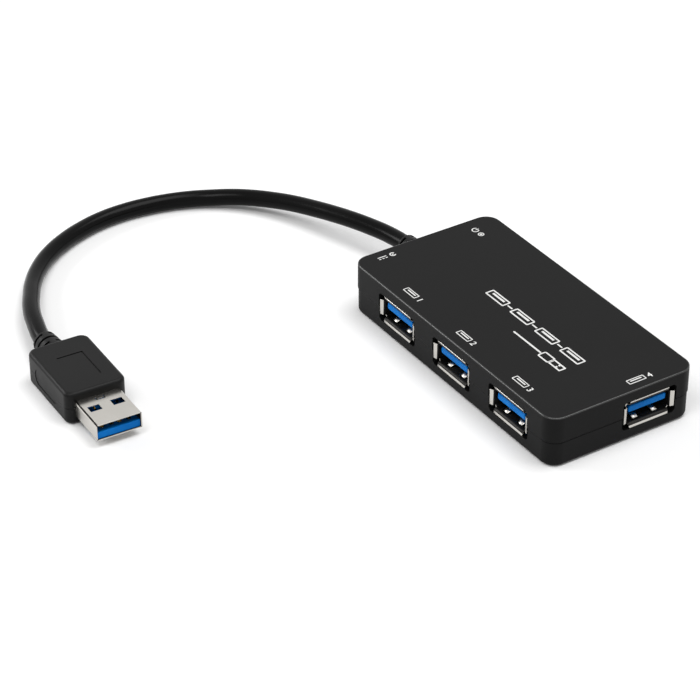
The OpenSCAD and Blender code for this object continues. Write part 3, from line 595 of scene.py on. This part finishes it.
insulator_bm = bmesh.new()
block_shape = outline(BLOCK_W, BLOCK_H, TONGUE_R, steps=4)
rings = [tongue_ring(inset, TONGUE_FRONT + y) for inset, y in edge(-TONGUE_EDGE, 0)]
rings += [tongue_ring(0, BLOCK_FRONT)]
rings += [[Vector((p.x, y, p.y)) for p in block_shape] for y in (BLOCK_FRONT, SOCKET_BACK)]
skin(insulator_bm, rings)
insulator = new_piece("insulator_pattern", insulator_bm)
slots = bmesh.new()
for x in SPRINGS:
    block(slots, (x - SPRING_SLOT / 2, SLOT_START, SLOT_LOW), (x + SPRING_SLOT / 2, SLOT_END, SLOT_TOP))
carve(insulator, slots)
for number, tongue in at_each_mouth(insulator, "tongue"):
    soften(tongue, 0.06, segments=1)
    hand_over(tongue, blue_polyester, "blue_plastic", f"port_{number}_insulator")
bpy.data.objects.remove(insulator)
print("tongue faces", len(tongue.data.polygons))

# %% [markdown]
# ## Strain reliefs
# Both ends of the lead leave their housing through a soft tapered boot, moulded with rings of slots so
# that it bends evenly. Each ring of slots leaves two webs, and the webs of the next ring stand a
# quarter turn round. The boot is turned from a profile and the slots are carved as half rings.

# %% Boots
SLOT_L, SLOT_PITCH, SLOT_WEB, SLOT_RINGS, FIRST_RING = 0.8, 2.2, 1.6, 3, 0.75
BORE_R, TIP_EDGE, CUT_PAST, CUT_DEEP, ARC_STEPS = 2.3, 0.45, 1, 0.7, 16
moulded_pvc = finish("moulded_soft_pvc", ("#0b0b0b", "#101010"), (0.4, 0.48), 0.45, 0.005, patch=10,
                     IOR=1.53, Specular_IOR_Level=0.13)


def boot(length, base_r, tip_r, place):
    """A boot along +Z from its housing at 0, and the cutters for its slots"""
    taper = (base_r - tip_r) / length
    tip_edge = [(tip_r - inset, z) for inset, z in edge(TIP_EDGE, length)]
    profile = [(base_r, 0), *[(base_r - taper * z, z) for z in (length * 0.3, length * 0.6)], *tip_edge]
    bm = bmesh.new()
    rings = [raised(circle(r), z) for r, z in profile + [(BORE_R, length), (BORE_R, 0)]]
    skin(bm, rings, place, closed=True)
    cutters = bmesh.new()
    for k in range(SLOT_RINGS):
        z = length - SLOT_PITCH * (k + FIRST_RING)
        for half in (0, 180):
            turn = Matrix.Rotation(math.radians(90 * k + half), 4, "Z")
            shape = []
            for radius, way in ((base_r + CUT_PAST, 1), (tip_r - CUT_DEEP, -1)):
                start = math.degrees(math.asin(SLOT_WEB / 2 / radius))
                angles = [math.radians(start + (180 - 2 * start) * n / ARC_STEPS)
                          for n in range(ARC_STEPS + 1)][::way]
                shape += [Vector((radius * math.cos(a), radius * math.sin(a), 0)) for a in angles]
            skin(cutters, [raised(shape, z), raised(shape, z + SLOT_L)], place @ turn)
    return bm, cutters


# %% Hub's strain relief
RELIEF_BASE, RELIEF_TIP, NECK_R, COLLAR_R = 3.5, 2.9, 3.0, 4.2
NECK_START, COLLAR_START, RELIEF_EDGE = -0.01, -1.7, 0.1
low, high = box_mm("strain_relief")
EXIT = Vector((low.x, (low.y + high.y) / 2, (low.z + high.z) / 2))
relief_length = casing_low.x - low.x
out_of_hub = Matrix.Translation((casing_low.x, EXIT.y, EXIT.z)) @ Matrix.Rotation(math.radians(-90), 4, "Y")
boot_bm, boot_cutters = boot(relief_length, RELIEF_BASE, RELIEF_TIP, out_of_hub)
relief = new_piece("hub_strain_relief", boot_bm)
carve(relief, boot_cutters)
collar_end = casing_low.x - high.x
profile = ((NECK_R, NECK_START), (NECK_R, COLLAR_START), (COLLAR_R, COLLAR_START),
           (COLLAR_R, collar_end), (BORE_R, collar_end), (BORE_R, NECK_START))
collar = bmesh.new()
skin(collar, [raised(circle(r), z) for r, z in profile], out_of_hub, closed=True)
attach(relief, collar)
soften(relief, RELIEF_EDGE)
hand_over(relief, moulded_pvc, "soft_black", "strain_relief")
print("relief", round(relief_length, 1), "mm long, lead leaves at", [round(v, 1) for v in EXIT])

# %% [markdown]
# ## The plug
# The plug's grip is moulded over the metal shell: a soft box with large round corners, a fine parting
# line at half height, and a shallow thumb hollow in each long side. An L-shaped groove marks the upper
# face. All of it is built in the plug's own frame, with its mouth at x = 0 and the table at z = 0.

# %% Plug's frame
plug_mount = next(m for m in frame["record"]["mounts"] if m["name"] == "plug_end")
heading = math.atan2(plug_mount["axis"][1], plug_mount["axis"][0])
mouth_at = Vector(plug_mount["pos_m"]) / MM
plug = Matrix.Translation((mouth_at.x, mouth_at.y, 0)) @ Matrix.Rotation(heading, 4, "Z")
ALONG_PLUG = Matrix(((0, 0, 1, 0), (1, 0, 0, 0), (0, 1, 0, 0), (0, 0, 0, 1)))
print("plug's mouth at", [round(v, 1) for v in mouth_at], "heading", round(math.degrees(heading), 1))

# %% Grip
GRIP_L, GRIP_W, GRIP_H, SHELL_OUT = 23.2, 16.0, 8.8, 11.6
GRIP_CORNER, GRIP_CORNER_TAPER, GRIP_EDGE, GRIP_EDGE_STEPS, GRIP_LINE = 2.2, 0.7, 1.0, 8, 0.12
GRIP_X = -SHELL_OUT - GRIP_L / 2
half = GRIP_H / 2
pairs = [*edge(-GRIP_EDGE, 0, GRIP_EDGE_STEPS), (0, half - GRIP_LINE), (GRIP_LINE, half),
         (0, half + GRIP_LINE), *edge(GRIP_EDGE, GRIP_H, GRIP_EDGE_STEPS)]
rings = [raised(outline(GRIP_L - 2 * inset, GRIP_W - 2 * inset,
                        GRIP_CORNER - inset * GRIP_CORNER_TAPER), z) for inset, z in pairs]
grip_bm = bmesh.new()
skin(grip_bm, rings, plug @ Matrix.Translation((GRIP_X, 0, 0)))
grip = new_piece("moulded_grip", grip_bm)

# %% Seat, groove and thumb hollows
SEAT, SEAT_BACK, SEAT_FRONT = outline(12.04, 4.54, 0.6, steps=4), -17.6, -10.6
GROOVE = ((-27.5, -3.2), (-27.1, -3.2), (-27.1, 3.2), (-16.7, 3.2), (-16.7, 3.6), (-27.5, 3.6))
GROOVE_DEEP = 0.2
HOLLOW, HOLLOW_X, HOLLOW_OUT, HOLLOW_DEEP = outline(12.5, 4.4, 2.15), -0.5, 0.7, -0.82
cutters = bmesh.new()
seat_place = plug @ Matrix.Translation((0, 0, half)) @ ALONG_PLUG
skin(cutters, [raised(SEAT, SEAT_BACK), raised(SEAT, SEAT_FRONT)], seat_place)
groove = [Vector((x, y, 0)) for x, y in GROOVE]
skin(cutters, [raised(groove, GRIP_H - GROOVE_DEEP), raised(groove, GRIP_H + 1)], plug)
for side in (-1, 1):
    hollow_at = Matrix.Translation((GRIP_X + HOLLOW_X, side * (GRIP_W / 2 + HOLLOW_OUT), half))
    face = plug @ hollow_at @ Matrix.Rotation(math.radians(90), 4, "X")
    skin(cutters, [raised(HOLLOW, HOLLOW_DEEP), raised(HOLLOW, 1)], face)
carve(grip, cutters)

# %% Plug's boot
PLUG_BOOT_L, PLUG_BOOT_BASE, PLUG_BOOT_TIP = 7.4, 3.6, 3.0
grip_end = Matrix.Translation((GRIP_X - GRIP_L / 2, 0, half))
grip_back = grip_end @ Matrix.Rotation(math.radians(-90), 4, "Y")
boot_bm, boot_cutters = boot(PLUG_BOOT_L, PLUG_BOOT_BASE, PLUG_BOOT_TIP, plug @ grip_back)
plug_boot = new_piece("plug_boot_pattern", boot_bm)
carve(plug_boot, boot_cutters)
merge(grip, plug_boot.data)
bpy.data.objects.remove(plug_boot)
soften(grip, 0)
hand_over(grip, moulded_pvc, "grip_black", "plug_grip")
print("grip faces", len(grip.data.polygons))

# %% Plug's metal shell
PLUG_W, PLUG_H, PLUG_R, HELD = 12.0, 4.5, 0.6, 6.0
at_plug = plug @ Matrix.Translation((0, 0, half))
outer = outline(PLUG_W, PLUG_H, PLUG_R, 6)
inner = outline(PLUG_W - 2 * SHEET, PLUG_H - 2 * SHEET, PLUG_R - SHEET, 6)
back_end = -SHELL_OUT - HELD
shell_bm = bmesh.new()
skin(shell_bm, [raised(outer, back_end), raised(outer, 0), raised(inner, 0), raised(inner, back_end)],
     at_plug @ ALONG_PLUG, closed=True)
plug_shell = new_piece("plug_metal_shell", shell_bm)

# %% Windows, seam and tab of the plug
WINDOW_X, WINDOW_Y, WINDOW_L, WINDOW_W = -6.8, 3.0, 2.3, 3.0
SEAM_Y, SEAM_Z = -5.5, 2.02
TAB = ((-10.7, -1.2), (-9.6, -1.2), (-9.6, 1.2), (-10.7, 1.2),
       (-10.7, 0.9), (-9.88, 0.9), (-9.88, -0.9), (-10.7, -0.9))
TAB_LOW, CUT_HIGH, CUT_FAR, INNER_SHARE, ON_CUT = 1.9, 3, 4, 0.75, 0.01
cutters = bmesh.new()
for side in (-1, 1):
    block(cutters, (WINDOW_X - WINDOW_L / 2, side * WINDOW_Y - WINDOW_W / 2, -CUT_FAR),
          (WINDOW_X + WINDOW_L / 2, side * WINDOW_Y + WINDOW_W / 2, CUT_FAR), at_plug)
block(cutters, (-20, -7, SEAM_Z), (1, SEAM_Y, CUT_HIGH), at_plug)
tab = [Vector((x, y, 0)) for x, y in TAB]
skin(cutters, [raised(tab, TAB_LOW), raised(tab, CUT_HIGH)], at_plug)
carve(plug_shell, cutters)
soften(plug_shell, 0.06, angle=50)
hand_over(plug_shell, nickel_sheet, "nickel_plate", "plug_shell")
# Painted shade: the shell's inner faces and the faces of the seam's notch take the dark steel colour in place
# of the shade that falls there
plug_shell.data.materials.append(painted_shade_sheet)
from_plug = at_plug.inverted()
for face in plug_shell.data.polygons:
    x, y, z = from_plug @ (face.center / MM)
    inner = abs(y) < PLUG_W / 2 - INNER_SHARE * SHEET and abs(z) < PLUG_H / 2 - INNER_SHARE * SHEET
    in_seam = (y < SEAM_Y and abs(z - SEAM_Z) < ON_CUT) or (abs(y - SEAM_Y) < ON_CUT and z > SEAM_Z)
    face.material_index = int(inner or in_seam)
print("plug shell faces", len(plug_shell.data.polygons))

# %% Plug's blue insert
INSERT_W, INSERT_H, INSERT_R, INSERT_Z = 11.3, 1.88, 0.25, -0.96
NOSE = ((0.12, -0.3), (0, -0.42))
CORE_W, CORE_H, CORE_R, CORE_START, CORE_END = 11.34, 3.84, 0.27, -12, -17.55
CONTACT_Y, CONTACT_SLOT = (-4, -2, 0, 2, 4), 0.7
CONTACT_LOW, CONTACT_HIGH = (-12.95, -0.45), (-8.8, 1)
low_half = [Vector((p.x, p.y + INSERT_Z, 0)) for p in outline(INSERT_W, INSERT_H, INSERT_R, 4)]
full = [Vector((p.x, p.y, 0)) for p in outline(CORE_W, CORE_H, CORE_R, 4)]
rings = [[Vector((p.x * (1 - inset / (INSERT_W / 2)), p.y, z)) for p in low_half] for inset, z in NOSE]
rings += [raised(low_half, CORE_START), raised(full, CORE_START), raised(full, CORE_END)]
insert_bm = bmesh.new()
skin(insert_bm, rings, at_plug @ ALONG_PLUG)
insert = new_piece("plug_blue_insert", insert_bm)
cutters = bmesh.new()
for y in CONTACT_Y:
    block(cutters, (CONTACT_LOW[0], y - CONTACT_SLOT / 2, CONTACT_LOW[1]),
          (CONTACT_HIGH[0], y + CONTACT_SLOT / 2, CONTACT_HIGH[1]), at_plug)
carve(insert, cutters)
soften(insert, 0.05, segments=1)
hand_over(insert, blue_polyester, "blue_plastic", "plug_insert")
print("insert faces", len(insert.data.polygons))

# %% [markdown]
# ## Contacts, inlet, light and the parts on the board
# The construction pieces of the contacts, the inlet, the power light and the circuit board already
# have their true shapes, so they stay, and each gets the finish of its real material. A weighted
# normal modifier keeps their flat faces flat without touching the mesh.

# %% Finishes of the small parts
gold = finish("gold_plated_phosphor_bronze", ("#c99a35", "#e0b552"), (0.22, 0.3), 0.15, 0.002,
              patch=2, Metallic=1.0)
tinned = finish("tinned_brass", ("#b8b4ab", "#cac6bd"), (0.28, 0.38), 0.2, 0.003,
                patch=2, Metallic=1.0)
drawn_can = finish("drawn_aluminium_can", ("#b4b5b7", "#c6c7c9"), (0.3, 0.38), 0.3, 0.003, patch=3,
                   stretch=(1, 1, 0.1), Metallic=1.0)
nylon = finish("moulded_black_nylon", ("#191919", "#202020"), (0.42, 0.5), 0.3, 0.004, patch=5,
               IOR=1.53, Specular_IOR_Level=0.3)
resin = finish("moulded_epoxy_resin", ("#1d1d1f", "#262628"), (0.5, 0.6), 0.12, 0.004,
               patch=3, IOR=1.55)
ceramic = finish("fired_ceramic_block", ("#8d7358", "#a0866a"), (0.4, 0.5), 0.15, 0.003,
                 patch=1, IOR=1.6)
thick_film = finish("glazed_thick_film", ("#161618", "#222226"), (0.25, 0.35), 0.15, 0.002,
                    patch=1, IOR=1.5)
fuse_green = finish("dipped_green_polymer", ("#2f7a45", "#3b8c52"), (0.35, 0.45), 0.2, 0.003,
                    patch=1.5, IOR=1.5)
lens = finish("cast_diffused_epoxy", ("#c3d8c8", "#d3e4d7"), (0.12, 0.2), 0.3, 0.001, patch=2,
              IOR=1.55, Transmission_Weight=0.5)
solder_mask = finish("screen_printed_solder_mask", ("#0f1512", "#172019"), (0.3, 0.4), 1.1, 0.01,
                     patch=0.9, IOR=1.52)
insulation = finish("coloured_wire_insulation", ("#8f2f2a", "#b0403a"), (0.4, 0.5), 0.2, 0.003,
                    patch=2, IOR=1.5)

# %% Who wears what
WEARS = {
    gold: ["contacts", "springs"],
    resin: ["hub_chip", "voltage_regulator", "capacitor_bases", "crystal_base"],
    drawn_can: ["capacitor_cans", "crystal_can"],
    ceramic: ["chip_capacitors"], thick_film: ["chip_resistors"], fuse_green: ["resettable_fuses"],
    nylon: ["inlet_housing"], tinned: ["inlet_pin", "inlet_terminal", "inlet_spring", "light_leads"],
    lens: ["power_light"], solder_mask: ["circuit_board"], insulation: ["lead_wires"]}
for material, endings in WEARS.items():
    for name, node in nodes.items():
        if any(name.endswith(ending) for ending in endings):
            node.data.materials.clear()
            node.data.materials.append(material)
            node.modifiers.new("flat faces", "WEIGHTED_NORMAL")
worn = [material.name for material in WEARS]
bare = [name for name, node in nodes.items()
        if not node.hide_render and node.data.materials[0].name.split(".")[0] not in worn]
print("construction pieces without a finish:", bare)

# %% [markdown]
# ## Printed marks
# The lid carries small pad-printed marks: a socket outline and a number by each socket, a symbol by the
# inlet and by the power light, and a diagram in the middle of four sockets above their one lead. Pad
# printing lays a film of ink about a hundredth of a millimetre thick, so each stroke is a thin solid
# that stands a little proud of the lid. The numbers come from the built-in typeface.

# %% Ink
ink = finish("pad_printed_white_ink", ("#d9d9d7", "#e8e8e6"), (0.45, 0.55), 0.2, 0.002, patch=3, IOR=1.5,
             Specular_IOR_Level=0.3)
INK_LOW, INK_HIGH, STROKE = TOP - 0.01, TOP + 0.015, 0.3


def stroke(bm, length, width, place, at=(0, 0), radius=None):
    """A filled bar with round ends"""
    shape = outline(length, width, min(length, width) * 0.49 if radius is None else radius, 4)
    spot = place @ Matrix.Translation((*at, 0))
    skin(bm, [raised(shape, INK_LOW), raised(shape, INK_HIGH)], spot)


def frame_stroke(bm, length, width, radius, place, at=(0, 0), line=STROKE):
    """A closed outline of even line width"""
    outer = outline(length, width, radius, 4)
    inner = outline(length - 2 * line, width - 2 * line, max(radius - line, 0.05), 4)
    rings = [raised(outer, INK_LOW), raised(outer, INK_HIGH), raised(inner, INK_HIGH), raised(inner, INK_LOW)]
    skin(bm, rings, place @ Matrix.Translation((*at, 0)), closed=True)


def arc_stroke(bm, radius, start, end, place, at=(0, 0), line=STROKE, steps=32):
    """Part of a ring, between two angles in degrees"""
    turns = [math.radians(start + (end - start) * k / steps) for k in range(steps + 1)]
    rim = [(radius + line / 2, turns), (radius - line / 2, turns[::-1])]
    shape = [Vector((r * math.cos(t), r * math.sin(t), 0)) for r, way in rim for t in way]
    spot = place @ Matrix.Translation((*at, 0))
    skin(bm, [raised(shape, INK_LOW), raised(shape, INK_HIGH)], spot)


def numeral(bm, number, height, place, at):
    """A plain number from the built-in typeface"""
    letters = bpy.data.curves.new("numeral", "FONT")
    letters.body, letters.size, letters.resolution_u = str(number), height / 0.73, 4
    letters.align_x, letters.offset = "CENTER", 0.03
    letters.extrude = (INK_HIGH - INK_LOW) / 2
    holder = bpy.data.objects.new("numeral", letters)
    scene.collection.objects.link(holder)
    bpy.context.view_layer.update()
    mesh = bpy.data.meshes.new_from_object(holder.evaluated_get(bpy.context.evaluated_depsgraph_get()))
    mesh.transform(place @ Matrix.Translation((*at, (INK_HIGH + INK_LOW) / 2)))
    bm.from_mesh(mesh)
    bpy.data.objects.remove(holder)


# %% Marks by the sockets
def facing(x, y, turn=0):
    """A place on the lid, turned by that many degrees"""
    return Matrix.Translation((x, y, 0)) @ Matrix.Rotation(math.radians(turn), 4, "Z")


def print_on_lid(name, bm):
    """Turns one mark's strokes into a piece in ink"""
    hand_over(new_piece(name, bm), ink, "white_ink")


MARKS = {1: facing(-20.3, -17.3), 2: facing(2.7, -17.4), 3: facing(26, -17.5), 4: facing(38.9, 7, 90)}
for number, place in MARKS.items():
    bm = bmesh.new()
    frame_stroke(bm, 5.0, 1.8, 0.25, place, (-1.15, 0), line=0.26)
    stroke(bm, 3.3, 0.38, place, (-1.15, 0.15), radius=0.05)
    numeral(bm, number, 1.8, place, (2.75, -0.9))
    print_on_lid(f"mark_socket_{number}", bm)

# %% Marks by the inlet and the light
bm = bmesh.new()
inlet_mark = facing(-39.1, -12.8, 90)
stroke(bm, 2.6, 0.3, inlet_mark, (-1.3, 0.3))
for step in (-1, 0, 1):
    stroke(bm, 0.66, 0.3, inlet_mark, (-1.3 + step * 0.97, -0.45))
arc_stroke(bm, 0.7, 30, 330, inlet_mark, (1.75, 0))
stroke(bm, 0.5, 0.5, inlet_mark, (1.75, 0), radius=0.24)
print_on_lid("mark_inlet", bm)
bm = bmesh.new()
light_mark = facing(-36.2, 13.2)
arc_stroke(bm, 0.85, 125, 415, light_mark, (-1.2, 0))
stroke(bm, 0.3, 1.0, light_mark, (-1.2, 0.55))
frame_stroke(bm, 1.7, 1.7, 0.84, light_mark, (1.3, 0))
stroke(bm, 0.7, 0.7, light_mark, (1.3, 0), radius=0.34)
print_on_lid("mark_power", bm)

# %% Diagram in the middle
bm = bmesh.new()
SOCKETS_MID, LEAD_MID = facing(7.35, -0.7), facing(16.25, -6.25)
PITCH, LINE = 10.2, 0.42
for step in (-1.5, -0.5, 0.5, 1.5):
    frame_stroke(bm, 7.4, 2.7, 0.4, SOCKETS_MID, (step * PITCH, 0), line=LINE)
    stroke(bm, 4.8, 0.6, SOCKETS_MID, (step * PITCH, 0.25), radius=0.08)
    if step < 1:
        stroke(bm, 2.0, LINE, SOCKETS_MID, (step * PITCH + PITCH / 2, 0))
frame_stroke(bm, 4.6, 2.2, 0.2, LEAD_MID, (7.7, 0), line=LINE)
for side in (-1, 1):
    stroke(bm, 0.6, LINE, LEAD_MID, (8.1, side * LINE), radius=0.05)
frame_stroke(bm, 4.2, 2.7, 0.6, LEAD_MID, (3.5, 0), line=LINE)
stroke(bm, 11.2, 0.5, LEAD_MID, (-4.3, 0))
print_on_lid("mark_diagram", bm)
print("ink top at", round(INK_HIGH, 3), "mm")

# %% [markdown]
# ## Table, light and background
# The table and the room are white. The camera, and any ray mirrored by metal or let through by the
# lens, sees them at a strength of 1, which is plain white. The table near the hub takes most of its look
# from its real lighting, so the soft shadows stay; further out it fades to the same plain white, so that
# no edge of it shows. Three soft lamps light the hub: a large one overhead, a smaller one above the
# front, and a low wide one towards the lead's end, which brightens the sides and the upper edges.

# %% Room and table
def seen_directly(tree):
    """1 for camera, mirror and see-through rays, else 0"""
    path = add(tree, "LightPath")
    total = add(tree, "Math", {"operation": "ADD"},
                {0: path.outputs["Is Camera Ray"], 1: path.outputs["Is Glossy Ray"]})
    return add(tree, "Math", {"operation": "ADD", "use_clamp": True},
               {0: total.outputs[0], 1: path.outputs["Is Transmission Ray"]}).outputs[0]


ROOM_LIGHT = 0.3
FADE_START, FADE_END, NEAR_GLOW = 0.17, 0.35, 0.04
TABLE_HALF, TABLE_LOW, TABLE_HIGH = 1500, -10, -0.02
world = bpy.data.worlds.new("white_room")
scene.world = world
world.use_nodes = True
tree = world.node_tree
level = add(tree, "MapRange", {"To Min": ROOM_LIGHT, "To Max": 1.0}, {"Value": seen_directly(tree)})
tree.nodes["Background"].inputs["Color"].default_value = (1, 1, 1, 1)
tree.links.new(level.outputs[0], tree.nodes["Background"].inputs["Strength"])

table_white = bpy.data.materials.new("white_table")
table_white.use_nodes = True
tree = table_white.node_tree
tree.nodes.remove(tree.nodes["Principled BSDF"])
matt = add(tree, "BsdfDiffuse", {"Color": linear("#fcfcfc")})
glow = add(tree, "Emission", {"Strength": 1.0})
place = add(tree, "TexCoord")
reach = add(tree, "VectorMath", {"operation": "LENGTH"}, {0: place.outputs["Object"]})
fade = add(tree, "MapRange", {"interpolation_type": "SMOOTHSTEP", "From Min": FADE_START,
                              "From Max": FADE_END, "To Min": NEAR_GLOW}, {"Value": reach.outputs["Value"]})
share = add(tree, "Math", {"operation": "MULTIPLY"}, {0: seen_directly(tree), 1: fade.outputs[0]})
mixed = add(tree, "MixShader", (), {0: share.outputs[0], 1: matt.outputs[0], 2: glow.outputs[0]})
tree.links.new(mixed.outputs[0], tree.nodes["Material Output"].inputs["Surface"])
table_bm = bmesh.new()
block(table_bm, (-TABLE_HALF, -TABLE_HALF, TABLE_LOW), (TABLE_HALF, TABLE_HALF, TABLE_HIGH))
table = new_piece("table", table_bm)
table.data.materials.append(table_white)


# %% Lamps
def soft_lamp(name, place, aim, width, height, power):
    """A rectangular lamp at a place, aimed at a point, in metres and watts"""
    lamp = bpy.data.objects.new(name, bpy.data.lights.new(name, "AREA"))
    lamp.data.shape, lamp.data.size, lamp.data.size_y, lamp.data.energy = "RECTANGLE", width, height, power
    lamp.location = place
    lamp.rotation_euler = (Vector(aim) - Vector(place)).to_track_quat("-Z", "Y").to_euler()
    lamp.visible_camera = False
    scene.collection.objects.link(lamp)


soft_lamp("overhead", (0.16, 0.3, 1.1), (-0.02, -0.03, 0), 0.8, 0.8, 8.5)
soft_lamp("front_top", (0.15, -0.42, 0.8), (0, 0, 0), 0.35, 0.35, 2.2)
soft_lamp("front_strip", (-0.62, -0.52, 0.38), (-0.02, -0.03, 0.01), 0.5, 0.24, 3.2)
print("room light", ROOM_LIGHT)
